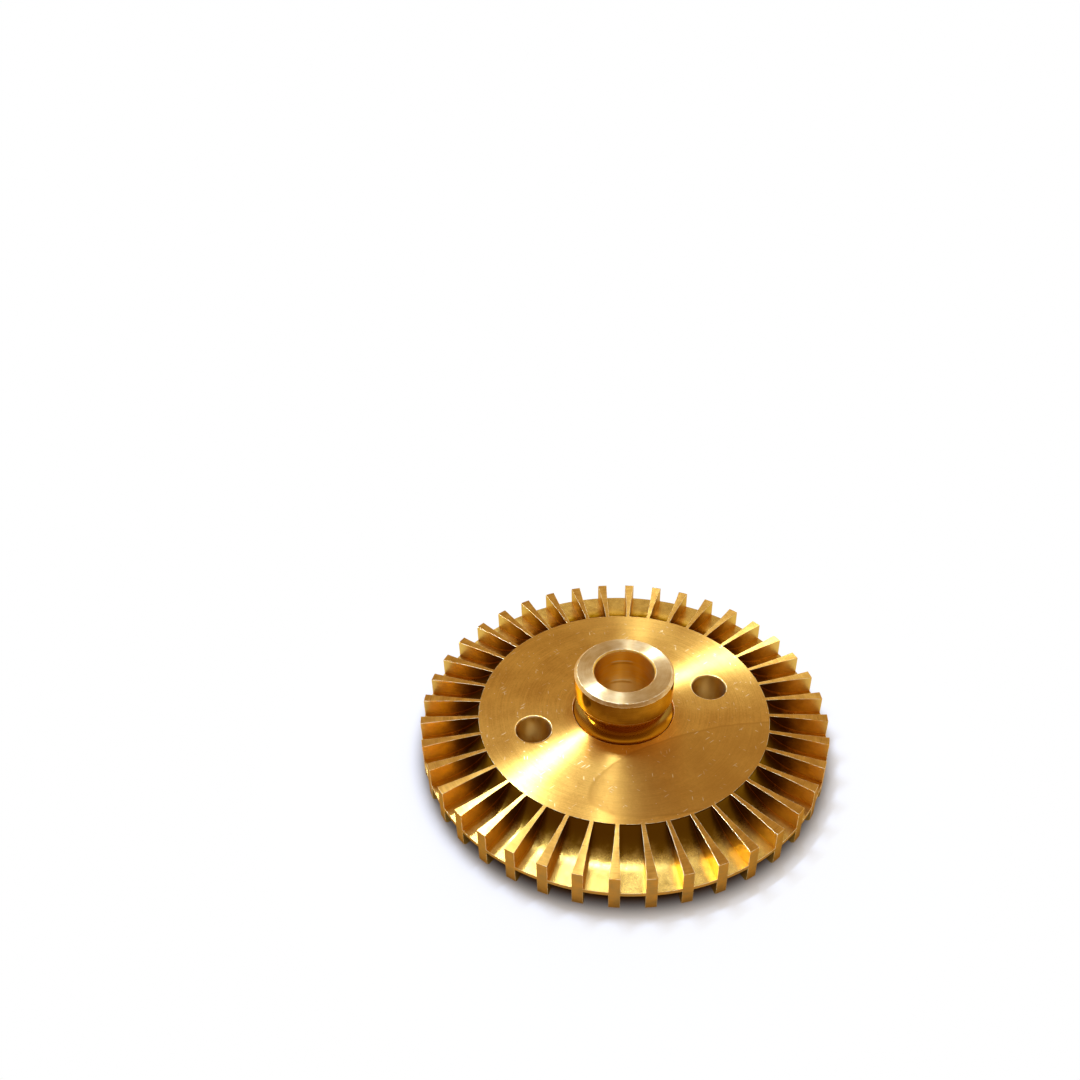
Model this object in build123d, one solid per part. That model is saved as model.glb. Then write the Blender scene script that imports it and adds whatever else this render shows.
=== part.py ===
from build123d import *

import os
from math import asin, cos, pi, radians, sin, sqrt

# Impeller of a peripheral (regenerative turbine) pump, one piece of brass.
#
# A flat disc with a ring of radial vanes left standing between pockets in both
# faces of the rim, a boss on the upper face with a tapered foot that stands in a
# shallow ring groove, a plain through bore and two through holes beside it.
#
# Frame: millimetres, +Z up along the bore towards the boss, origin at the centre
# of the flat underside. The two holes lie on the X axis, which runs through the
# middle of a pocket at each end.

# ---- disc -------------------------------------------------------------------
outside_dia = 96.0          # over the tips of the vanes
disc_thickness = 9.7        # the disc's faces are flush with the vanes
rim_chamfer = 0.6           # broken outer corner on the underside

# ---- vanes and pockets, the same on both faces --------------------------------
vane_count = 40
pocket_inner_dia = 68.8     # the circle where the pockets begin
web_thickness = 0.9         # what is left between an upper and a lower pocket
vane_root_thickness = 0.85  # at the inner end of a pocket
vane_tip_thickness = 2.4    # at the rim
vane_hollow = 0.12          # how deep each side of a vane is hollowed in plan
pocket_heel = 0.35          # short upright step where a pocket begins
pocket_sweep_radius = 12.5  # the curve that carries the floor out to the web

# ---- boss ---------------------------------------------------------------------
boss_dia = 23.3
boss_height = 11.9          # above the face of the disc
boss_chamfer = 0.65
boss_land = 5.3             # length of the full diameter below the chamfer
foot_dia = 18.4             # the boss tapers to this at the groove
groove_dia = 24.2           # outer edge of the ring groove in the face
groove_depth = 0.6
groove_chamfer = 0.4        # broken edge between the groove and the face

# ---- bore and side holes ---------------------------------------------------------
bore_dia = 14.0
bore_chamfer = 0.35
hole_dia = 8.2
hole_circle_dia = 44.5
hole_chamfer = 0.2

# ---- derived ----------------------------------------------------------------------
rim_r = outside_dia / 2
inner_r = pocket_inner_dia / 2
boss_r = boss_dia / 2
foot_r = foot_dia / 2
groove_r = groove_dia / 2
bore_r = bore_dia / 2
hole_r = hole_dia / 2
face_z = disc_thickness
top_z = face_z + boss_height
pitch_deg = 360 / vane_count
web_top = (disc_thickness + web_thickness) / 2
sweep_rise = disc_thickness - web_top - pocket_heel
sweep_run = sqrt(sweep_rise * (2 * pocket_sweep_radius - sweep_rise))
overrun = 1.0               # how far a cutter runs past the metal it removes


def turned_blank():
    """The disc with its boss, groove and bore, turned as one profile."""
    wall_r = groove_r - groove_chamfer
    wall_z = face_z - groove_chamfer
    floor_z = face_z - groove_depth
    land_top = top_z - boss_chamfer
    land_bottom = land_top - boss_land
    with BuildSketch(Plane.XZ) as profile:
        with BuildLine():
            Polyline(
                (bore_r + bore_chamfer, 0),
                (rim_r - rim_chamfer, 0),
                (rim_r, rim_chamfer),
                (rim_r, face_z),
                (groove_r, face_z),
                (wall_r, wall_z),
            )
            ThreePointArc((wall_r, wall_z), ((wall_r + foot_r) / 2, floor_z), (foot_r, wall_z))
            Polyline(
                (foot_r, wall_z),
                (boss_r, land_bottom),
                (boss_r, land_top),
                (boss_r - boss_chamfer, top_z),
                (bore_r + bore_chamfer, top_z),
                (bore_r, top_z - bore_chamfer),
                (bore_r, bore_chamfer),
                (bore_r + bore_chamfer, 0),
            )
        make_face()
    return revolve(profile.sketch, Axis.Z)


def vane_side(distance, thickness):
    """A point on a vane's side: so far along its middle, half its thickness off."""
    half_pitch = radians(pitch_deg / 2)
    x = distance * cos(half_pitch) + thickness / 2 * sin(half_pitch)
    y = distance * sin(half_pitch) - thickness / 2 * cos(half_pitch)
    return x, y


def slot_plan():
    """The space between two vanes seen from above, centred on the X axis."""
    middle_thickness = (vane_root_thickness + vane_tip_thickness) / 2 - 2 * vane_hollow
    root = vane_side(inner_r, vane_root_thickness)
    middle = vane_side((inner_r + rim_r) / 2, middle_thickness)
    tip = vane_side(rim_r, vane_tip_thickness)
    beyond = vane_side(rim_r + overrun, vane_tip_thickness)
    with BuildSketch() as plan:
        with BuildLine():
            ThreePointArc(root, middle, tip)
            Line(tip, beyond)
            Line(beyond, (beyond[0], -beyond[1]))
            Line((beyond[0], -beyond[1]), (tip[0], -tip[1]))
            ThreePointArc((tip[0], -tip[1]), (middle[0], -middle[1]), (root[0], -root[1]))
            Line((root[0], -root[1]), root)
        make_face()
    return plan.sketch


def pocket_section():
    """Section of an upper pocket along the radius: upright heel, sweep, flat web."""
    sweep_end_r = inner_r + sweep_run
    heel_z = face_z - pocket_heel
    half_angle = asin(sweep_run / pocket_sweep_radius) / 2
    sweep_middle = (
        sweep_end_r - pocket_sweep_radius * sin(half_angle),
        web_top + pocket_sweep_radius * (1 - cos(half_angle)),
    )
    with BuildSketch(Plane.XZ) as section:
        with BuildLine():
            Line((inner_r, face_z + overrun), (inner_r, heel_z))
            ThreePointArc((inner_r, heel_z), sweep_middle, (sweep_end_r, web_top))
            Polyline(
                (sweep_end_r, web_top),
                (rim_r + overrun, web_top),
                (rim_r + overrun, face_z + overrun),
                (inner_r, face_z + overrun),
            )
        make_face()
    return section.sketch


def pocket_cutter():
    """What is removed for one upper pocket, centred on the X axis."""
    slot = extrude(slot_plan(), face_z + 2 * overrun)
    swept = extrude(pocket_section(), rim_r * pi / vane_count, both=True)
    return slot & swept


def drilled_hole():
    """One side hole with its small chamfer at both faces, on the X axis."""
    reach = hole_chamfer + overrun
    shank = Cylinder(hole_r, face_z + 2 * overrun, align=(Align.CENTER, Align.CENTER, Align.MIN))
    mouth = Cone(hole_r + reach, hole_r, reach, align=(Align.CENTER, Align.CENTER, Align.MIN))
    lower = Pos(0, 0, -overrun) * mouth
    upper = Pos(0, 0, face_z + overrun) * Rot(180, 0, 0) * mouth
    hole = Pos(0, 0, -overrun) * shank + lower + upper
    return Pos(hole_circle_dia / 2, 0, 0) * hole


upper_pocket = pocket_cutter()
lower_pocket = Pos(0, 0, face_z) * Rot(180, 0, 0) * upper_pocket
side_hole = drilled_hole()

cutters = [Rot(0, 0, pitch_deg * i) * upper_pocket for i in range(vane_count)]
cutters += [Rot(0, 0, pitch_deg * i) * lower_pocket for i in range(vane_count)]
cutters += [side_hole, Rot(0, 0, 180) * side_hole]

impeller = turned_blank() - cutters

os.makedirs("parts", exist_ok=True)
export_step(impeller, "parts/impeller.step")
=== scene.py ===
# %% [markdown]
# # A brass pump impeller
# The real part is one disc of brass. A lathe turns its faces, its boss and its
# bore, and a cutter leaves forty thin vanes standing between pockets round the
# rim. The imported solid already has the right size, so this lesson keeps that
# size and puts a finer skin in its place, with broken edges and one finish for
# each way that the metal was cut.

import math

import bmesh
import bpy
from mathutils import Matrix, Vector


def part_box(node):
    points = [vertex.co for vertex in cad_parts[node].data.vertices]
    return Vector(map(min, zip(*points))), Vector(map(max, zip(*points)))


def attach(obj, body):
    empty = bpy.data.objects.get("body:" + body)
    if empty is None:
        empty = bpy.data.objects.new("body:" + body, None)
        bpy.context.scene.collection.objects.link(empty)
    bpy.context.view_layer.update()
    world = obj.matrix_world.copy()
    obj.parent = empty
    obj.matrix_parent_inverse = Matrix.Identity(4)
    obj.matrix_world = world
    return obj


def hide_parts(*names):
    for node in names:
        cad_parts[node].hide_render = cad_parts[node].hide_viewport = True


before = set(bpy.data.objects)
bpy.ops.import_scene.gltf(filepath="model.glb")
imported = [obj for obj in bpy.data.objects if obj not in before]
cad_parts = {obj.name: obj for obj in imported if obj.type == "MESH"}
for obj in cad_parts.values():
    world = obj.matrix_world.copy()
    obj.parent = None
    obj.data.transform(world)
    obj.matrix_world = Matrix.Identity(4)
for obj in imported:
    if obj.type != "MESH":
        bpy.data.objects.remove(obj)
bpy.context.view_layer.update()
low_corner, high_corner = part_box("impeller")
for corner in (low_corner, high_corner):
    print("solid's corner at", [round(v * 1000, 2) for v in corner], "mm")

# %% [markdown]
# ## The sizes
# Every length is in metres, so a millimetre is written once and used as a unit.
# The rim and the height come from the solid itself. The rest are the part's own
# driving sizes, and everything else is worked out from them.

# %% Driving sizes
MM = 0.001

rim_r = high_corner[0]
top_z = high_corner[2]
disc_thickness = 9.7 * MM
rim_chamfer = 0.6 * MM

vane_count = 40
pocket_inner_r = 34.4 * MM
web_thickness = 0.9 * MM
vane_root = 0.85 * MM
vane_tip = 2.4 * MM
vane_hollow = 0.12 * MM
pocket_heel = 0.35 * MM
sweep_radius = 12.5 * MM

boss_r = 11.65 * MM
boss_chamfer = 0.65 * MM
boss_land = 5.3 * MM
foot_r = 9.2 * MM
groove_r = 12.1 * MM
groove_depth = 0.6 * MM
groove_chamfer = 0.4 * MM

bore_r = 7.0 * MM
bore_chamfer = 0.35 * MM
hole_r = 4.1 * MM
hole_offset = 22.25 * MM
hole_chamfer = 0.2 * MM
print(vane_count, "vanes, rim radius", round(rim_r / MM, 2), "mm, height", round(top_z / MM, 2), "mm")

# %% Worked-out sizes
face_z = disc_thickness
pitch = 360 / vane_count
web_top = (disc_thickness + web_thickness) / 2
web_bottom = disc_thickness - web_top
sweep_rise = face_z - web_top - pocket_heel
sweep_run = math.sqrt(sweep_rise * (2 * sweep_radius - sweep_rise))
land_top = top_z - boss_chamfer
land_bottom = land_top - boss_land
print("pitch", pitch, "degrees, sweep runs", round(sweep_run / MM, 2), "mm")

# %% [markdown]
# ## How a vane and a pocket are shaped
# A vane is thin at the root and thick at the tip, and each side is a little
# hollow. A pocket begins with a short upright heel, sweeps down on one radius
# and ends flat on the thin web in the middle of the disc. The disc's lower outer
# corner is broken. All of this could be moved into place by hand, but here four
# small functions say it, and every patch of the rim is drawn from them, so that
# a changed size moves the whole rim together.


# %% Shape of a vane and of a pocket
def half_thickness(radius):
    """Half of a vane's thickness at a distance from the bore's axis."""
    share = (radius - pocket_inner_r) / (rim_r - pocket_inner_r)
    straight = (vane_root + (vane_tip - vane_root) * share) / 2
    return straight - vane_hollow * 4 * share * (1 - share)


def side_angle(radius):
    """Degrees from the middle of a pocket to the side of its vane."""
    return pitch / 2 - math.degrees(math.asin(half_thickness(radius) / radius))


def floor_height(radius):
    """Height of an upper pocket's floor."""
    to_flat = sweep_run - (radius - pocket_inner_r)
    if to_flat <= 0:
        return web_top
    return web_top + sweep_radius - math.sqrt(sweep_radius**2 - to_flat**2)


def underside_height(radius):
    """Height of the disc's underside, with its broken outer corner."""
    return max(0.0, radius - (rim_r - rim_chamfer))


for radius in (pocket_inner_r, (pocket_inner_r + rim_r) / 2, rim_r):
    thickness = 2 * half_thickness(radius)
    print("at radius", round(radius / MM, 1), "mm a vane is", round(thickness / MM, 2), "mm thick")

# %% [markdown]
# ## Patches
# The skin is made of patches: grids of points joined by four-sided faces, each
# with the name of its finish. Patches share their border points, and one pass
# at the end merges those. This is more work than cutting a disc with eighty
# cutters, but it gives clean, even faces that take a bevel well.

# %% Patch helpers
FINISHES = [
    "turned",
    "faced",
    "chamfer",
    "polished",
    "floor",
    "wall",
    "vane_top",
    "rim",
    "bored",
    "edge",
]
skin = bmesh.new()


def at(radius, degrees, height):
    """A point at a radius and an angle round the bore."""
    angle = math.radians(degrees)
    return Vector((radius * math.cos(angle), radius * math.sin(angle), height))


def steps(start, end, count):
    """Evenly spaced values from start to end, both included."""
    return [start + (end - start) * i / count for i in range(count + 1)]


def patch(rows, finish):
    """Joins rows of points with four-sided faces in one finish."""
    verts = [[skin.verts.new(point) for point in row] for row in rows]
    for lower, upper in zip(verts, verts[1:]):
        for a, b, c, d in zip(lower, lower[1:], upper[1:], upper):
            skin.faces.new((a, b, c, d)).material_index = FINISHES.index(finish)


# %% [markdown]
# ## One pocket with the two half vanes beside it
# The rim repeats forty times on each face, so one function draws a single
# pocket at any angle, for the upper or the lower face. The lower face is the
# mirror of the upper one, apart from the corner that is broken where the disc
# was dressed after cutting. An array modifier that turns by an empty would repeat
# a pocket too. A function that takes the angle does it with nothing extra in the
# scene.

# %% The pocket patches
ACROSS = 6
SWEEP_STEPS = 16
FLAT_STEPS = 6
margin = 0.4 * MM
chamfer_start = rim_r - rim_chamfer
sweep_end = pocket_inner_r + sweep_run
radii = steps(pocket_inner_r, sweep_end, SWEEP_STEPS)
radii += steps(sweep_end, chamfer_start, FLAT_STEPS)[1:]
radii += [rim_r]
print("a pocket's floor has", len(radii), "rows of", ACROSS + 1, "points")


def pocket(middle, face_height, floor_at):
    """Draws one pocket whose middle is at an angle, between a face and its floor."""
    shares = steps(-1, 1, ACROSS)
    heel_side = side_angle(pocket_inner_r)
    patch(
        [[at(r, middle + s * side_angle(r), floor_at(r)) for s in shares] for r in radii],
        "floor",
    )
    heel_heights = [face_height(pocket_inner_r), floor_at(pocket_inner_r)]
    patch(
        [[at(pocket_inner_r, middle + s * heel_side, z) for s in shares] for z in heel_heights],
        "floor",
    )
    for side in (-1, 1):
        wall = []
        land = []
        for r in radii:
            angle = middle + side * side_angle(r)
            wall.append([at(r, angle, face_height(r)), at(r, angle, floor_at(r))])
            land.append([at(r, angle, face_height(r)), at(r, middle + side * pitch / 2, face_height(r))])
        patch(wall, "wall")
        patch(land, "vane_top")


def rim_faces(middle):
    """The outer faces beside one pocket: the web's edge and two half vanes."""
    side = side_angle(rim_r)
    shares = steps(-side, side, ACROSS)
    patch([[at(rim_r, middle + s, z) for s in shares] for z in (web_bottom, web_top)], "rim")
    heights = [underside_height(rim_r), web_bottom, web_top, face_z]
    for first, last in ((-pitch / 2, -side), (side, pitch / 2)):
        patch([[at(rim_r, middle + first, z), at(rim_r, middle + last, z)] for z in heights], "rim")


def inner_margin(middle, height):
    """A narrow ring of even faces just inside one pocket."""
    side = side_angle(pocket_inner_r)
    angles = [-pitch / 2] + steps(-side, side, ACROSS) + [pitch / 2]
    ring = [pocket_inner_r - margin, pocket_inner_r]
    patch([[at(r, middle + a, height) for a in angles] for r in ring], "turned")


# %% Forty pockets on each face
for number in range(vane_count):
    middle_angle = number * pitch
    pocket(middle_angle, lambda r: face_z, floor_height)
    pocket(middle_angle, underside_height, lambda r: disc_thickness - floor_height(r))
    rim_faces(middle_angle)
    inner_margin(middle_angle, face_z)
    inner_margin(middle_angle, 0.0)
print("rim patches:", len(skin.faces), "faces")

# %% [markdown]
# ## The boss, the groove and the bore
# These are turned, so they are a profile carried round the axis. The profile is
# a short list of corners with the finish of the stretch that follows each one:
# a faced end, a polished land, a taper down to the foot and a shallow groove.
# A screw modifier also turns a profile into a solid, but it knows one material
# for the whole, and here each stretch has its own.

# %% The turned profile
ROUND = 192
GROOVE_STEPS = 8


def carry_round(corners, centre, count):
    """Carries a profile's corners once round an upright axis through a centre."""
    angles = steps(0, 360, count)
    for (r0, z0, finish), (r1, z1, _) in zip(corners, corners[1:]):
        rows = [[centre + at(r, a, z) for a in angles] for r, z in ((r0, z0), (r1, z1))]
        patch(rows, finish)


def groove_profile():
    """The groove's floor as an arc through both walls and its lowest point."""
    outer = groove_r - groove_chamfer
    wall_z = face_z - groove_chamfer
    half_width = (outer - foot_r) / 2
    sag = groove_depth - groove_chamfer
    radius = (half_width**2 + sag**2) / (2 * sag)
    centre_r = (outer + foot_r) / 2
    points = []
    for offset in steps(half_width, -half_width, GROOVE_STEPS):
        dip = math.sqrt(radius**2 - offset**2) - (radius - sag)
        points.append((centre_r + offset, wall_z - dip, "polished"))
    return points


profile = [(groove_r + margin, face_z, "turned"), (groove_r, face_z, "polished")]
profile += groove_profile()
profile += [
    (boss_r, land_bottom, "polished"),
    (boss_r, land_top, "chamfer"),
    (boss_r - boss_chamfer, top_z, "faced"),
    (bore_r + bore_chamfer, top_z, "bored"),
    (bore_r, top_z - bore_chamfer, "bored"),
    (bore_r, bore_chamfer, "bored"),
    (bore_r + bore_chamfer, 0.0, "turned"),
    (bore_r + bore_chamfer + margin, 0.0, "turned"),
]
carry_round(profile, Vector((0, 0, 0)), ROUND)
print("profile corners:", len(profile))

# %% [markdown]
# ## The side holes
# Two plain drilled holes stand on one diameter. Each is a tube with a small
# chamfer and a narrow even ring at both faces. A boolean could cut them from the
# finished disc, but it would leave long thin triangles beside the chamfers. The
# tubes are put in before the faces are closed instead.

# %% Drilled holes
HOLE_ROUND = 96
hole_profile = [
    (hole_r + hole_chamfer + margin, face_z, "turned"),
    (hole_r + hole_chamfer, face_z, "bored"),
    (hole_r, face_z - hole_chamfer, "bored"),
    (hole_r, hole_chamfer, "bored"),
    (hole_r + hole_chamfer, 0.0, "turned"),
    (hole_r + hole_chamfer + margin, 0.0, "turned"),
]
for side in (-1, 1):
    carry_round(hole_profile, Vector((side * hole_offset, 0, 0)), HOLE_ROUND)
print("side holes", round(2 * hole_offset / MM, 2), "mm apart")

# %% [markdown]
# ## Closing the faces
# What is still open is the flat of each face, between the groove or the bore,
# the holes and the pockets. Its borders all lie in one plane, so Blender's
# triangle fill closes it, holes and all.

# %% Merge and fill
same_point = 0.002 * MM
same_height = 0.001 * MM
bmesh.ops.remove_doubles(skin, verts=skin.verts, dist=same_point)
for height in (face_z, 0.0):
    border = [
        edge
        for edge in skin.edges
        if edge.is_boundary and all(abs(v.co.z - height) < same_height for v in edge.verts)
    ]
    filled = bmesh.ops.triangle_fill(skin, use_beauty=True, edges=border)
    for item in filled["geom"]:
        if isinstance(item, bmesh.types.BMFace):
            item.material_index = FINISHES.index("turned")
bmesh.ops.recalc_face_normals(skin, faces=skin.faces)
open_edges = sum(not edge.is_manifold for edge in skin.edges)
print("closed skin:", len(skin.faces), "faces,", open_edges, "open edges")
print("volume", round(skin.calc_volume() / MM**3), "mm3")

# %% [markdown]
# ## Breaking the edges
# A machined edge is never perfectly sharp: it is deburred, and the narrow strip
# that this leaves draws the bright lines along every vane. A bevel modifier that
# goes by angle would round the inward corners too, so here the outward ones are
# chosen first, and the strips get a finish of their own. The shading then stays
# sharp where two faces turn by 15 degrees or more, so that a strip doesn't bend
# the light on the flat beside it.

# %% Bevel
edge_break = 0.06 * MM
corner_angle = math.radians(18)
smooth_angle = math.radians(15)
corners = [edge for edge in skin.edges if edge.is_convex and edge.calc_face_angle() > corner_angle]
bmesh.ops.bevel(
    skin,
    geom=corners,
    offset=edge_break,
    offset_type="OFFSET",
    segments=2,
    profile=0.5,
    affect="EDGES",
    clamp_overlap=True,
    material=FINISHES.index("edge"),
)
for face in skin.faces:
    face.smooth = True
for edge in skin.edges:
    edge.smooth = edge.calc_face_angle() < smooth_angle

impeller_mesh = bpy.data.meshes.new("impeller_skin")
skin.to_mesh(impeller_mesh)
skin.free()
impeller = bpy.data.objects.new("impeller_skin", impeller_mesh)
bpy.context.scene.collection.objects.link(impeller)
print("beveled:", len(corners), "edges,", len(impeller_mesh.polygons), "faces")

# %% [markdown]
# ## Shader maths as expressions
# Node graphs get long when each sum is a node added by hand. A small class
# wraps one socket, so that `1 - mask` or `radius * 9` adds its Math node by
# itself. Any other node comes from one method that takes its type, its settings
# and what goes into its sockets.


# %% Sockets that can be added and multiplied
class Shade:
    """One output socket of a finish, on which ordinary operators add Math nodes."""

    def __init__(self, finish, socket):
        self.finish = finish
        self.socket = socket

    def out(self, name):
        """Another output of the same node."""
        return Shade(self.finish, self.socket.node.outputs[name])

    def maths(self, operation, *values):
        """A Math node that works on numbers or on other sockets."""
        return self.finish.node("ShaderNodeMath", {"operation": operation}, dict(enumerate(values)))

    def __add__(self, other):
        return self.maths("ADD", self, other)

    def __sub__(self, other):
        return self.maths("SUBTRACT", self, other)

    def __rsub__(self, other):
        return self.maths("SUBTRACT", other, self)

    def __mul__(self, other):
        return self.maths("MULTIPLY", self, other)

    def __truediv__(self, other):
        return self.maths("DIVIDE", self, other)

    def __pow__(self, other):
        return self.maths("POWER", self, other)

    __radd__ = __add__
    __rmul__ = __mul__

    def size(self):
        """The value without its sign."""
        return self.maths("ABSOLUTE", self)

    def at_least(self, least):
        """The value, or the least one where that is larger."""
        return self.maths("MAXIMUM", self, least)

    def ramp(self, start, end):
        """0 below start and 1 above end, with a smooth rise between them."""
        settings = {"interpolation_type": "SMOOTHSTEP"}
        inputs = {"Value": self, "From Min": start, "From Max": end}
        return self.finish.node("ShaderNodeMapRange", settings, inputs)


class Finish:
    """The nodes of a material or of the world, built one at a time."""

    def __init__(self, owner):
        owner.use_nodes = True
        self.tree = owner.node_tree

    def plug(self, socket, value):
        """Links a socket, or sets it where the value is a plain one."""
        if isinstance(value, Shade):
            self.tree.links.new(value.socket, socket)
        else:
            socket.default_value = value

    def node(self, kind, settings=None, inputs=None, output=0):
        """Adds a node: its settings first, then the values or links of its sockets."""
        node = self.tree.nodes.new(kind)
        for name, value in (settings or {}).items():
            setattr(node, name, value)
        for name, value in (inputs or {}).items():
            self.plug(node.inputs[name], value)
        return Shade(self, node.outputs[output])

    def mix(self, factor, first, second):
        """A colour between two colours."""
        inputs = {0: factor, 6: first, 7: second}
        return self.node("ShaderNodeMix", {"data_type": "RGBA"}, inputs, output=2)

    def vector(self, x, y, z):
        """A vector from three values."""
        return self.node("ShaderNodeCombineXYZ", None, {"X": x, "Y": y, "Z": z})

    def noise(self, place, scale, detail=2.0, roughness=0.5):
        """Soft noise between 0 and 1."""
        inputs = {"Vector": place, "Scale": scale, "Detail": detail, "Roughness": roughness}
        return self.node("ShaderNodeTexNoise", {"normalize": True}, inputs)

    def bump(self, height, depth):
        """A bump whose height of 1 stands for a depth in metres."""
        inputs = {"Height": height, "Distance": depth, "Strength": 1.0}
        return self.node("ShaderNodeBump", None, inputs, output="Normal")


# %% [markdown]
# ## Where a point lies on the part
# Turned marks follow circles, so most patterns need the distance from the bore
# and the direction round it. The direction goes in as two numbers, x / r and
# y / r, because an angle would jump at half a turn and leave a seam.


# %% Places in millimetres
class Place:
    """The coordinates of the point being shaded, in millimetres."""

    def __init__(self, finish):
        metres = finish.node("ShaderNodeTexCoord", output="Object")
        self.finish = finish
        scaling = {0: metres, "Scale": 1 / MM}
        self.point = finish.node("ShaderNodeVectorMath", {"operation": "SCALE"}, scaling)
        split = finish.node("ShaderNodeSeparateXYZ", None, {0: self.point})
        self.x, self.y, self.z = split.out("X"), split.out("Y"), split.out("Z")
        flat = finish.vector(self.x, self.y, 0.0)
        self.r = finish.node("ShaderNodeVectorMath", {"operation": "LENGTH"}, {0: flat}, output="Value")

    def lines(self, across, wander, detail):
        """Noise that changes quickly along one measure and slowly round the axis."""
        place = self.finish.vector(across, self.x / self.r * wander, self.y / self.r * wander)
        return self.finish.noise(place, scale=1.0, detail=detail, roughness=0.6)

    def rings(self, per_mm, wander):
        """Closed lines on a flat face, one inside another."""
        return self.lines(self.r * per_mm, wander, detail=3.0)

    def hoops(self, per_mm, wander):
        """Closed lines on an upright wall, one above another."""
        return self.lines(self.z * per_mm, wander, detail=2.0)

    def facing(self, degrees):
        """1 where the direction from the axis is the given one, less to either side."""
        across = self.x / self.r * math.cos(math.radians(degrees))
        return across + self.y / self.r * math.sin(math.radians(degrees))

    def nicks(self, direction, length, width, rarity):
        """Short sparse marks that all lie in one direction, in degrees.

        Length and width are the millimetres of the cell round one mark, and
        rarity is the share of the cells that stay empty.
        """
        turn = (0, 0, math.radians(direction))
        stretched = {"Vector": self.point, "Rotation": turn, "Scale": (length, width, width)}
        turned = self.finish.node("ShaderNodeMapping", {"vector_type": "TEXTURE"}, stretched)
        settings = {"feature": "F1", "voronoi_dimensions": "2D"}
        cells = self.finish.node("ShaderNodeTexVoronoi", settings, {"Vector": turned, "Scale": 1.0})
        draw = self.finish.node("ShaderNodeSeparateColor", None, {0: cells.out("Color")})
        return (1 - cells.ramp(0.04, 0.11)) * draw.ramp(rarity, rarity + 0.02)


face_mm = face_z / MM
inner_mm = pocket_inner_r / MM
rim_mm = rim_r / MM
print("face at", round(face_mm, 2), "mm, pockets from", round(inner_mm, 2), "to", round(rim_mm, 2), "mm")

# %% [markdown]
# ## The brass
# One alloy runs through the whole part, and each way of cutting it leaves a tone
# of its own. Some finishes are also made lighter or darker with painted light and
# shade, as each one says. So every finish goes between a light and a dark brass,
# as a noise or the place on the part says, and then has its own marks and its own
# gloss.
# Painted pictures could do this too, but they need the skin laid out flat and
# blur close by, where a noise stays fine. The edge tint keeps the metal golden
# where it is seen at a flat angle. What is the same all over a finish is set
# once, on the shader's own sockets.

# %% Brass colours and the finish starter
BRASS = (0.84, 0.43, 0.075, 1.0)
BRASS_BROWN = (0.60, 0.27, 0.04, 1.0)
BRASS_DEEP = (0.84, 0.50, 0.10, 1.0)
EDGE_PALE = (1.0, 0.78, 0.40, 1.0)
EDGE_TINT = (0.75, 0.55, 0.35, 1.0)
QUARTER_TURN = 0.25


def brass(name, anisotropic=0.0):
    """Starts a finish: solid metal, whose gloss may run in one direction."""
    material = bpy.data.materials.new(name)
    finish = Finish(material)
    finish.material = material
    shader = finish.tree.nodes["Principled BSDF"]
    shader.inputs["Metallic"].default_value = 1.0
    shader.inputs["Anisotropic"].default_value = anisotropic
    shader.inputs["Anisotropic Rotation"].default_value = QUARTER_TURN
    shader.inputs["Specular Tint"].default_value = EDGE_TINT
    finish.shader = shader
    finish.place = Place(finish)
    return finish


def dress(finish, colour, roughness, height, depth):
    """Plugs the colour, the roughness and a bump into the shader."""
    finish.plug(finish.shader.inputs["Base Color"], colour)
    finish.plug(finish.shader.inputs["Roughness"], roughness)
    finish.plug(finish.shader.inputs["Normal"], finish.bump(height, depth))
    print("finish", finish.material.name, "has", len(finish.tree.nodes), "nodes")
    return finish.material


# %% [markdown]
# ### Turned faces
# A facing tool leaves a fine spiral that looks like closed rings. Light spreads
# across such rings and not along them, which draws the two bright bows over the
# disc. Fine grooves in the mesh could do it, at a great cost. Blender's metal has
# an anisotropic setting instead, which takes its direction from the Z axis here
# and is given a quarter turn. On top of it come rings that can be seen one by
# one, sparse nicks in four directions, and a patch. The patch is an ellipse whose
# border wobbles, duller, pitted and speckled inside. Its browner colour and the
# darker line round it are painted shade, for a darker reflection that lies across
# that part of the face.

# %% Turned face
# The patch: duller and pitted, with painted shade in its colour.
PATCH_CENTRE = (12.0, -23.5)
PATCH_HALF = (29.0, 11.2)


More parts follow.
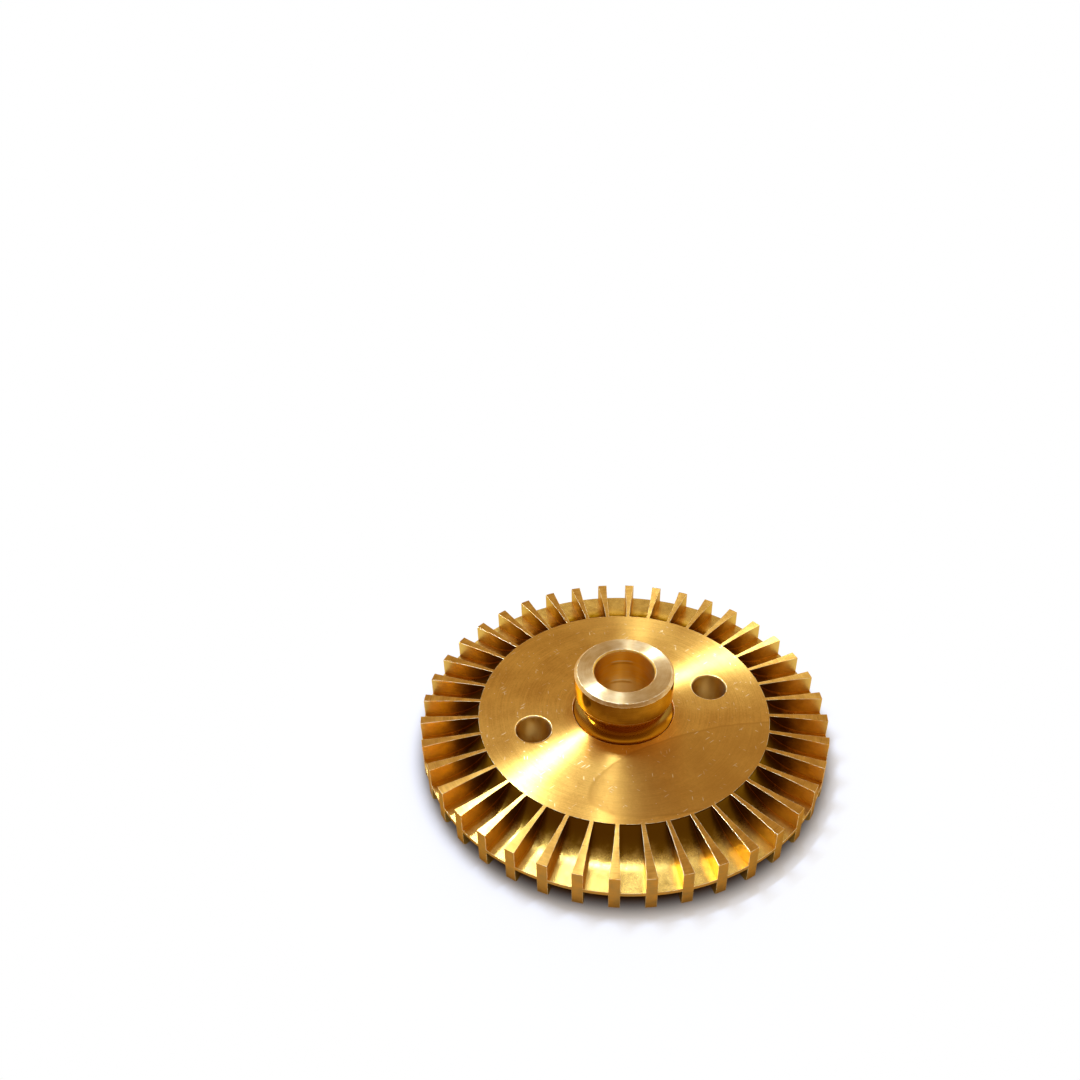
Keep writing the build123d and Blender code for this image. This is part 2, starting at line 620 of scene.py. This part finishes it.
def turned_face():
    """Both faces of the disc."""
    finish = brass("turned_brass", anisotropic=1.0)
    place = finish.place
    fine = place.rings(per_mm=12.0, wander=3.0)
    broad = place.rings(per_mm=1.6, wander=1.6)
    cloud = finish.noise(place.point, scale=0.11, detail=3.0)
    grain = finish.noise(place.point, scale=2.2, detail=3.0, roughness=0.7)
    ellipse_x = (place.x - PATCH_CENTRE[0]) / PATCH_HALF[0]
    ellipse_y = (place.y - PATCH_CENTRE[1]) / PATCH_HALF[1]
    wobble = (cloud - 0.5) * 0.25
    reach = ellipse_x**2.0 + ellipse_y**2.0 + wobble
    # Painted shade: the patch is browner, with a darker line round it, for a darker reflection there;
    # its dullness and pits are the metal's own.
    dull_shaded_patch = 1 - reach.ramp(0.93, 1.0)
    dull_shaded_patch_edge = reach.ramp(0.88, 0.96) * (1 - reach.ramp(0.97, 1.02))
    nicks = (
        place.nicks(direction=20, length=9.0, width=0.9, rarity=0.86)
        + place.nicks(direction=75, length=7.0, width=0.9, rarity=0.88)
        + place.nicks(direction=130, length=5.0, width=0.9, rarity=0.86)
        + place.nicks(direction=165, length=1.4, width=1.3, rarity=0.90)
    )
    marks = nicks.ramp(0.0, 1.0) * cloud.ramp(0.25, 0.60) * 0.85
    speckle = finish.noise(place.point, scale=1.5, roughness=0.6)
    tone = fine * 0.35 + broad * 0.1 + cloud * 0.35 + grain * 0.2
    colour = finish.mix(tone.ramp(0.38, 0.62), BRASS_BROWN, BRASS)
    colour = finish.mix(dull_shaded_patch * 0.34 + dull_shaded_patch_edge * 0.6, colour, BRASS_BROWN)
    mottled = dull_shaded_patch * speckle.ramp(0.42, 0.56)
    colour = finish.mix(mottled * 0.3, colour, BRASS_BROWN)
    colour = finish.mix(marks, colour, EDGE_PALE)
    dulled = dull_shaded_patch * (grain.ramp(0.4, 0.7) * 0.12 + 0.04)
    roughness = 0.27 + fine * 0.05 + dulled + marks * 0.12
    pitting = grain * (0.3 + dull_shaded_patch) + speckle * dull_shaded_patch * 2.5
    height = fine * 0.5 + broad * 0.1 + pitting + marks * 1.5
    return dress(finish, colour, roughness, height, depth=0.004 * MM)


# %% [markdown]
# ### Faced end, polished sides and bored walls
# The end of the boss has a fine facing with small chips at its rim, and it is
# painted a pale gold, painted light for the light that falls on it from above.
# The chamfer beside it is as pale, with less direction. The sides were polished
# on the lathe, so they mirror the room, and their brass is painted darker than
# the rest, a painted shade for the dark room that they mirror. The taper below
# them has a brighter colour, and the groove is painted browner, a painted shade
# in its hollow. Bores are rougher, with hoops up the wall from the drill or the
# reamer. The main bore is painted palest low down, a painted reflection of the
# floor that it mirrors through its lower end. At one side it has two short
# darker bands, each with a paler band above it.

# %% Boss and bore
# Painted light: the end of the boss and its chamfer are painted these pale golds.
PAINTED_PALE_GOLD = (0.89, 0.61, 0.27, 1.0)
PAINTED_PALE_GOLD_DEEP = (0.73, 0.42, 0.13, 1.0)
CHIP = (0.98, 0.90, 0.72, 1.0)
# Painted shade: the polished sides are painted in these darker browns.
SHADED_POLISH = (0.57, 0.37, 0.08, 1.0)
SHADED_POLISH_DARK = (0.38, 0.23, 0.03, 1.0)
# Painted shade: the groove at the boss's foot is painted this brown.
GROOVE_SHADE = (0.32, 0.17, 0.015, 1.0)
BORE_PALE = (0.99, 0.72, 0.30, 1.0)
BORE_AMBER = (0.97, 0.55, 0.06, 1.0)
DRILLED = (0.70, 0.52, 0.20, 1.0)
DRILLED_DARK = (0.55, 0.30, 0.05, 1.0)
PALE_BAND = (0.98, 0.80, 0.45, 1.0)

DARK_BAND_HEIGHTS = (11.6, 17.6)
BAND_SIDE = 74
PALE_BAND_ABOVE = 0.65


def faced_end():
    """The upper end of the boss."""
    finish = brass("faced_brass", anisotropic=1.0)
    place = finish.place
    fine = place.rings(per_mm=10.0, wander=2.0)
    cloud = finish.noise(place.point, scale=0.5)
    end_edge = (boss_r - boss_chamfer) / MM
    near_edge = (place.r / end_edge).ramp(0.94, 1.0)
    chips = place.nicks(direction=60, length=1.6, width=0.8, rarity=0.86) * near_edge
    tone = fine * 0.5 + cloud * 0.5
    # The pale gold is painted light, for the light falling on the end from above.
    colour = finish.mix(tone.ramp(0.3, 0.7), PAINTED_PALE_GOLD_DEEP, PAINTED_PALE_GOLD)
    colour = finish.mix(chips, colour, CHIP)
    roughness = 0.34 + fine * 0.12
    height = fine + cloud * 0.4 + chips
    return dress(finish, colour, roughness, height, depth=0.003 * MM)


def chamfer_band():
    """The narrow cone round the boss's end."""
    finish = brass("chamfer_brass", anisotropic=0.6)
    place = finish.place
    fine = place.rings(per_mm=10.0, wander=2.0)
    cloud = finish.noise(place.point, scale=0.7, detail=3.0)
    tone = fine * 0.3 + cloud * 0.7
    # As pale as the end: painted light.
    colour = finish.mix(tone.ramp(0.35, 0.65), PAINTED_PALE_GOLD_DEEP, PAINTED_PALE_GOLD)
    roughness = 0.24 + cloud * 0.14
    return dress(finish, colour, roughness, fine + cloud * 0.6, depth=0.004 * MM)


def polished_side():
    """The boss's land, its taper and the groove at its foot."""
    finish = brass("polished_brass", anisotropic=0.5)
    place = finish.place
    hoops = place.hoops(per_mm=4.0, wander=1.2)
    cloud = finish.noise(place.point, scale=0.35, detail=3.0)
    tone = hoops * 0.4 + cloud * 0.6
    # The darker brass is painted shade, for the dark room that the sides mirror.
    colour = finish.mix(tone.ramp(0.3, 0.7), SHADED_POLISH_DARK, SHADED_POLISH)
    taper_top = land_bottom / MM
    taper = 1 - place.z.ramp(taper_top - 0.15, taper_top + 0.05)
    colour = finish.mix(taper * 0.8, colour, BRASS_DEEP)
    # The groove is painted browner: painted shade in its hollow.
    groove = 1 - place.z.ramp(face_mm - 0.2, face_mm + 0.9)
    colour = finish.mix(groove * 0.5, colour, GROOVE_SHADE)
    roughness = 0.11 + hoops * 0.05 + cloud * 0.03
    return dress(finish, colour, roughness, hoops + cloud, depth=0.002 * MM)


def bored_wall():
    """The bore and the side holes, which lie further from the axis."""
    finish = brass("bored_brass", anisotropic=0.8)
    place = finish.place
    hoops = place.hoops(per_mm=2.2, wander=0.8)
    cloud = finish.noise(place.point, scale=0.4, detail=3.0)
    low = 1 - place.z.ramp(face_mm - 0.7, face_mm + 6.3)
    # Low in the bore the tone rises towards the pale colour: a painted reflection of the floor seen
    # through the bore's lower end.
    tone = hoops * 0.4 + cloud * 0.3 + low * 0.4
    drilled = place.r.ramp(bore_r / MM + 2.0, bore_r / MM + 3.0)
    pale = tone.ramp(0.25, 0.75) * (1 - drilled * 0.6)
    colour = finish.mix(pale, BORE_AMBER, BORE_PALE)
    colour = finish.mix(drilled * 0.6, colour, DRILLED)
    colour = finish.mix(drilled * low * 0.3, colour, DRILLED_DARK)
    # Two short darker bands at one side, each with a paler band above it.
    at_side = place.facing(BAND_SIDE).ramp(0.90, 0.98)
    for dark_band_height in DARK_BAND_HEIGHTS:
        above = place.z - dark_band_height
        dark_band = (1 - above.size().ramp(0.15, 0.4)) * at_side
        pale_band = (1 - (above - PALE_BAND_ABOVE).size().ramp(0.1, 0.35)) * at_side
        colour = finish.mix(pale_band * 0.9, colour, PALE_BAND)
        colour = finish.mix(dark_band * 0.65, colour, BRASS_BROWN)
    roughness = 0.24 + hoops * 0.14
    return dress(finish, colour, roughness, hoops + cloud * 0.5, depth=0.005 * MM)


# %% [markdown]
# ### Pockets, vane tops and rim
# The pockets are smooth, with a faint mottle from the cutter. They are painted
# dark at the inner end, a painted shade in the deep corner, and lighter towards
# the rim. Along the foot of each wall, where the side and the end of the cutter
# met, runs a lighter line: a painted highlight, as from a small fillet there,
# with a bump of its own. It follows the same curve as the floor's own shape. The
# vane tops were faced with the disc and share its direction. The rim was turned
# before the pockets were cut, so it has fine hoops and a drier look, and it is
# painted a darker brown, a painted shade for the shadowed floor that it mirrors.
# The broken edges go from brass to a pale gold, a painted highlight along each
# edge.

# %% Pocket, vane and rim
# Painted shade: the deep inner ends of the pockets are painted in this dark brown.
POCKET_SHADE = (0.21, 0.095, 0.004, 1.0)
FLOOR_BRASS = (0.84, 0.48, 0.09, 1.0)
WALL_BRASS = (0.86, 0.55, 0.12, 1.0)
# Painted shade: the rim is painted this darker brown for the shadowed floor that it mirrors.
RIM_SHADE_BROWN = (0.42, 0.22, 0.05, 1.0)


def pocket_floor():
    """The swept floor and the flat web."""
    finish = brass("floor_brass")
    place = finish.place
    mottle = finish.noise(place.point, scale=0.45, detail=4.0, roughness=0.6)
    grain = finish.noise(place.point, scale=2.6)
    outwards = place.r.ramp(inner_mm + 0.6, inner_mm + 9.1)
    # Darker towards the inner end: painted shade in the deep corner, with a real mottle and grain.
    unshaded_and_mottled = (outwards * 0.8 + mottle * 0.9 + grain * 0.2 - 0.70).ramp(0.0, 0.8)
    colour = finish.mix(unshaded_and_mottled, POCKET_SHADE, FLOOR_BRASS)
    roughness = 0.25 - outwards * 0.06 + mottle * 0.08 + grain * 0.04
    return dress(finish, colour, roughness, mottle + grain * 0.2, depth=0.03 * MM)


def pocket_wall():
    """The sides of the vanes."""
    finish = brass("wall_brass")
    place = finish.place
    mottle = finish.noise(place.point, scale=0.35, detail=3.0, roughness=0.6)
    grain = finish.noise(place.point, scale=2.6)
    outwards = place.r.ramp(inner_mm + 0.1, rim_mm - 1.0)
    # Darker towards the inner end: painted shade in the deep corner, with a real mottle and grain.
    unshaded_and_mottled = (outwards * 0.8 + mottle * 0.5 + grain * 0.15 - 0.4).ramp(0.0, 0.9)
    colour = finish.mix(unshaded_and_mottled, POCKET_SHADE, WALL_BRASS)
    sweep = sweep_radius / MM
    to_flat = (sweep_end / MM - place.r).at_least(0.0)
    floor_at = web_thickness / MM / 2 + sweep - (sweep**2 - to_flat**2.0) ** 0.5
    above_floor = (place.z - face_mm / 2).size() - floor_at
    # A lighter line along the foot of the wall: a painted highlight, as from a small fillet there, with
    # a bump of its own.
    foot = 1 - above_floor.ramp(0.05, 0.45)
    colour = finish.mix(foot * 0.6, colour, BRASS)
    roughness = 0.33 + mottle * 0.10 + grain * 0.04 + foot * 0.04
    height = mottle + grain * 0.1 + foot * 0.6
    return dress(finish, colour, roughness, height, depth=0.02 * MM)


def vane_land():
    """The tops of the vanes, flush with the faces."""
    finish = brass("vane_brass", anisotropic=1.0)
    place = finish.place
    fine = place.rings(per_mm=5.0, wander=6.0)
    cloud = finish.noise(place.point, scale=0.4, detail=3.0)
    tone = fine * 0.4 + cloud * 0.6
    colour = finish.mix(tone.ramp(0.35, 0.68), BRASS_BROWN, BRASS)
    roughness = 0.25 + fine * 0.08
    return dress(finish, colour, roughness, fine + cloud * 0.6, depth=0.005 * MM)


def rim_face():
    """The ends of the vanes and the edge of the web."""
    finish = brass("rim_brass", anisotropic=0.3)
    place = finish.place
    hoops = place.hoops(per_mm=3.2, wander=8.0)
    cloud = finish.noise(place.point, scale=0.5, detail=3.0)
    tone = hoops * 0.4 + cloud * 0.6
    # The rim's darker brown is painted shade.
    colour = finish.mix(tone.ramp(0.3, 0.7), RIM_SHADE_BROWN, BRASS_BROWN)
    roughness = 0.40 + hoops * 0.14
    return dress(finish, colour, roughness, hoops + cloud * 0.5, depth=0.01 * MM)


def broken_edge():
    """Every narrow strip that the bevel made."""
    finish = brass("edge_brass")
    place = finish.place
    sheen_noise = finish.noise(place.point, scale=1.1, detail=3.0)
    # The pale gold is a painted highlight along each broken edge.
    colour = finish.mix(sheen_noise.ramp(0.36, 0.56), BRASS, EDGE_PALE)
    roughness = 0.25 + sheen_noise * 0.25
    return dress(finish, colour, roughness, sheen_noise, depth=0.03 * MM)


# %% [markdown]
# ## Putting the finishes on
# Each patch kept the number of its finish, so the materials go onto the mesh in
# that same order. The skin then takes the solid's place in the frame.

# %% Slots in the order of the patches
makers = [
    turned_face,
    faced_end,
    chamfer_band,
    polished_side,
    pocket_floor,
    pocket_wall,
    vane_land,
    rim_face,
    bored_wall,
    broken_edge,
]
for make in makers:
    impeller_mesh.materials.append(make())
print("slots:", [material.name for material in impeller_mesh.materials])

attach(impeller, "root")
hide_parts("impeller")

# %% [markdown]
# ## The camera
# The camera stands in front of the part and looks down on it. Its place is
# given by a heading round the bore, a distance along the floor and a height.
# A target to track would aim it too, but plain angles can also hold the small
# roll. The heading gives right and ahead as well, for the room and the lamps.

# %% Camera
heading = math.radians(21.66)
ahead = Vector((math.sin(heading), math.cos(heading), 0))
right = Vector((math.cos(heading), -math.sin(heading), 0))
up = Vector((0, 0, 1))

stand_off = 169.8 * MM
eye_height = 175.7 * MM
aim_turn = math.radians(4.02)
look_down = math.radians(34.32)
roll = math.radians(-0.58)

lens = bpy.data.cameras.new("camera")
lens.sensor_width = 36.0
lens.lens = 32.67
lens.shift_x = -0.0292
lens.shift_y = -0.006
lens.clip_start = 0.01
camera = bpy.data.objects.new("camera", lens)
camera.matrix_world = (
    Matrix.Translation(-ahead * stand_off + up * eye_height)
    @ Matrix.Rotation(aim_turn - heading, 4, "Z")
    @ Matrix.Rotation(math.radians(90) - look_down, 4, "X")
    @ Matrix.Rotation(roll, 4, "Z")
)
bpy.context.scene.collection.objects.link(camera)
bpy.context.scene.camera = camera
print("camera at", [round(v / MM, 1) for v in camera.matrix_world.translation])

# %% [markdown]
# ## The floor
# Brass only looks like brass when it has something to mirror. The floor is a wide
# disc of paper, matt and a little warm. Near the part it is lit by the lamps and
# takes the shadow. Further out it fades to plain white, for the eye and for what
# the metal mirrors. A ring of painted shadow, dark brown on the paper, lies under
# the rim and deepens the thin gap there.

# %% Floor
WHITE = (1.0, 1.0, 1.0, 1.0)
WARM_PAPER = (0.98, 0.89, 0.79, 1.0)
# The colour of the painted shadow that lies on the paper under the rim.
SHADED_PAPER = (0.15, 0.09, 0.04, 1.0)

floor_reach = 4.0
floor_gap = 0.02 * MM
floor_mesh = bpy.data.meshes.new("floor")
floor_skin = bmesh.new()
bmesh.ops.create_circle(floor_skin, cap_ends=True, radius=floor_reach, segments=96)
floor_skin.to_mesh(floor_mesh)
floor_skin.free()
floor = bpy.data.objects.new("floor", floor_mesh)
floor.location.z = -floor_gap
bpy.context.scene.collection.objects.link(floor)

floor_paint = bpy.data.materials.new("floor_paint")
paint = Finish(floor_paint)
paint_place = Place(paint)
ray = paint.node("ShaderNodeLightPath", output="Is Camera Ray")
seen = (ray + ray.out("Is Glossy Ray")).ramp(0.0, 1.0)
near = paint_place.r.ramp(rim_mm - 3.0, rim_mm + 7.0)
far = paint_place.r.ramp(rim_mm + 2.0, rim_mm + 42.0)
share = seen * (near * 0.82 + far * 0.18)
glow = paint.node("ShaderNodeEmission", None, {"Color": WHITE, "Strength": 1.0})
# Painted shadow: a ring of dark brown paper under the rim, where the gap is thin.
inside = paint_place.r.ramp(rim_mm - 15.0, rim_mm - 13.0)
painted_rim_shadow = inside * (1 - paint_place.r.ramp(rim_mm - 1.5, rim_mm + 4.5))
paper_and_shadow = paint.mix(painted_rim_shadow, WARM_PAPER, SHADED_PAPER)
matt = paint.node("ShaderNodeBsdfDiffuse", None, {"Color": paper_and_shadow})
surface = paint.node("ShaderNodeMixShader", None, {0: share, 1: matt, 2: glow})
paint.plug(paint.tree.nodes["Material Output"].inputs["Surface"], surface)
floor_mesh.materials.append(floor_paint)
print("floor reaches", floor_reach, "m and lies", floor_gap / MM, "mm below the part")

# %% [markdown]
# ## The room
# The room is white at the level of the eye and goes over into a warm brown
# ceiling. The ceiling comes lower at the near side of the room, where it gives
# the near pockets and the boss their depth, and it is a little lighter to the
# right. Walls and a roof of real faces would do it too, but a few nodes on the
# world need no mesh and are easier to change.

# %% Room
CEILING = (0.23, 0.11, 0.01, 1.0)

world = bpy.data.worlds.new("room")
bpy.context.scene.world = world
room = Finish(world)
look = room.node("ShaderNodeTexCoord", output="Generated")


def toward(direction):
    """1 straight towards a direction in the room, 0 square to it, -1 away from it."""
    inputs = {0: look, 1: direction}
    return room.node("ShaderNodeVectorMath", {"operation": "DOT_PRODUCT"}, inputs, output="Value")


near_side = toward(-ahead).ramp(-0.3, 0.5)
ceiling = (toward(up) + near_side * 0.16).ramp(0.30, 0.55)
shade = ceiling * (0.61 + near_side * 0.28 - toward(right) * 0.12)
room.plug(room.tree.nodes["Background"].inputs["Color"], room.mix(shade, WHITE, CEILING))
print("the room has", len(room.tree.nodes), "nodes")

# %% [markdown]
# ## The lamps
# Five soft lamps stand over a metre away, so that both halves of the disc see
# them in nearly the same direction. The key lamp is long and narrow, high at the
# back left, and draws the white bow on each side of the boss. The wide lamp adds
# the paler wings of the bows, and the low one lights the right side of the part.
# A small lamp lights the flat outer ends of the near pockets, and a thin one
# overhead draws a second, narrow streak. The light is bluish, as daylight is, and
# brass gives it back as a pale gold. Suns and points could light the part too,
# but an area lamp has a shape, and that shape is what the metal mirrors.

# %% Softboxes
DAYLIGHT = (0.42, 0.60, 1.0)
LAMP_DISTANCE = 1.2


def softbox(name, turn, lift, length, breadth, along, watts):
    """A flat lamp aimed at the part.

    Turn 0 is straight behind the part and 90 is to its right. The long side
    of the lamp runs along a direction in which 0 is right and 90 is ahead.
    """
    turn, lift, along = math.radians(turn), math.radians(lift), math.radians(along)
    level = right * math.sin(turn) + ahead * math.cos(turn)
    outwards = level * math.cos(lift) + up * math.sin(lift)
    across = outwards.cross(right * math.cos(along) + ahead * math.sin(along)).normalized()
    light = bpy.data.lights.new(name, "AREA")
    light.shape = "RECTANGLE"
    light.size, light.size_y = length, breadth
    light.energy = watts
    light.color = DAYLIGHT
    lamp = bpy.data.objects.new(name, light)
    axes = Matrix((across.cross(outwards), across, outwards)).transposed()
    lamp.matrix_world = Matrix.Translation(outwards * LAMP_DISTANCE) @ axes.to_4x4()
    lamp.visible_camera = False
    bpy.context.scene.collection.objects.link(lamp)
    print(name, "shines at", round(watts / (math.pi * length * breadth), 1), "times white")


softbox("key_lamp", turn=-43, lift=58.5, length=0.48, breadth=0.035, along=42, watts=16.5)
softbox("wide_lamp", turn=-16, lift=64, length=0.40, breadth=0.40, along=45, watts=1.3)
softbox("low_lamp", turn=24, lift=24, length=0.40, breadth=0.40, along=90, watts=1.4)
softbox("pocket_lamp", turn=-12, lift=53, length=0.14, breadth=0.08, along=0, watts=0.6)
softbox("top_lamp", turn=-9, lift=72, length=0.144, breadth=0.012, along=80, watts=2.6)

# %% [markdown]
# ## The end
# The plain view transform shows colours as they are written.

# %% View transform and the end
bpy.context.scene.view_settings.view_transform = "Standard"
